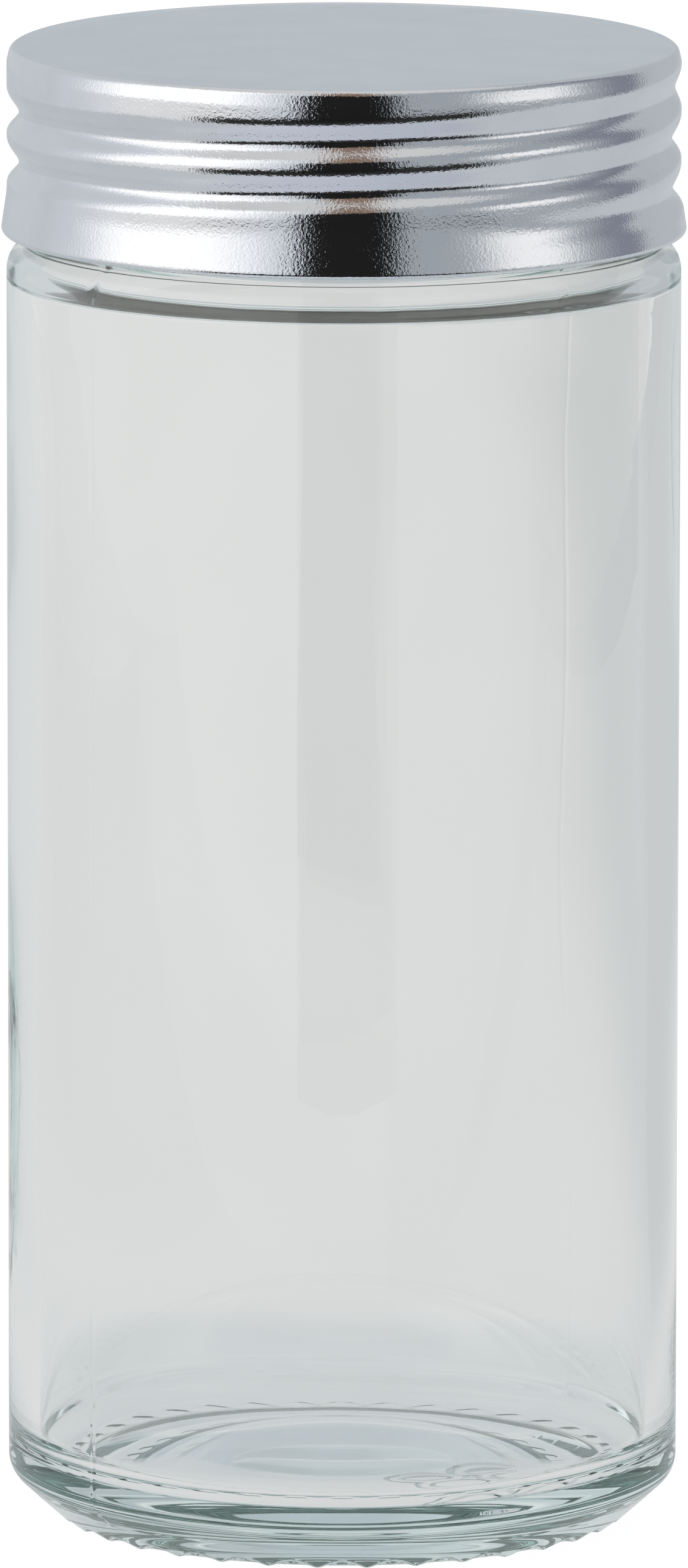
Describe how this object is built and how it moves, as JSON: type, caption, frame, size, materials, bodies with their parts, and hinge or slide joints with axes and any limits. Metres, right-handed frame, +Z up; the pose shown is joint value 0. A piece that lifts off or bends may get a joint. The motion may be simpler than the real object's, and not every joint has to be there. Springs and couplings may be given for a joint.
{
  "type": "screw-top spice jar",
  "caption": "Clear glass spice jar with a knurled foot and a pressed metal screw cap that unscrews and lifts clear of the mouth.",
  "frame": {"origin": "centre of the plane that the jar stands on, on the jar's axis", "axes": "+Z up along the jar's axis; -Y is the side that the picture shows"},
  "size_m": [0.0504, 0.0504, 0.11],
  "materials": {
    "clear_glass": "clear moulded glass with a faint green tint, slightly uneven inside",
    "bright_metal": "bright tin-plated steel sheet, polished, with a very fine orange-peel texture",
    "sealing_disc": "off-white foamed polyethylene, satin"
  },
  "bodies": {
    "jar": {"glass_jar": "clear_glass"},
    "liner": {"cap_liner": "sealing_disc"},
    "cap": {"cap_shell": "bright_metal"}
  },
  "joints": [
    {"name": "cap_rise", "type": "slide", "parent": "jar", "child": "liner", "axis": [0, 0, 1], "range_m": [0, 0.0134]},
    {"name": "cap_turn", "type": "hinge", "parent": "liner", "child": "cap", "pos_m": [0, 0, 0.1], "axis": [0, 0, 1], "range_deg": [0, 1296]}
  ],
  "couplings": [
    {"joint": "cap_rise", "follows": "cap_turn", "m_per_rad": 0.00058887}
  ]
}
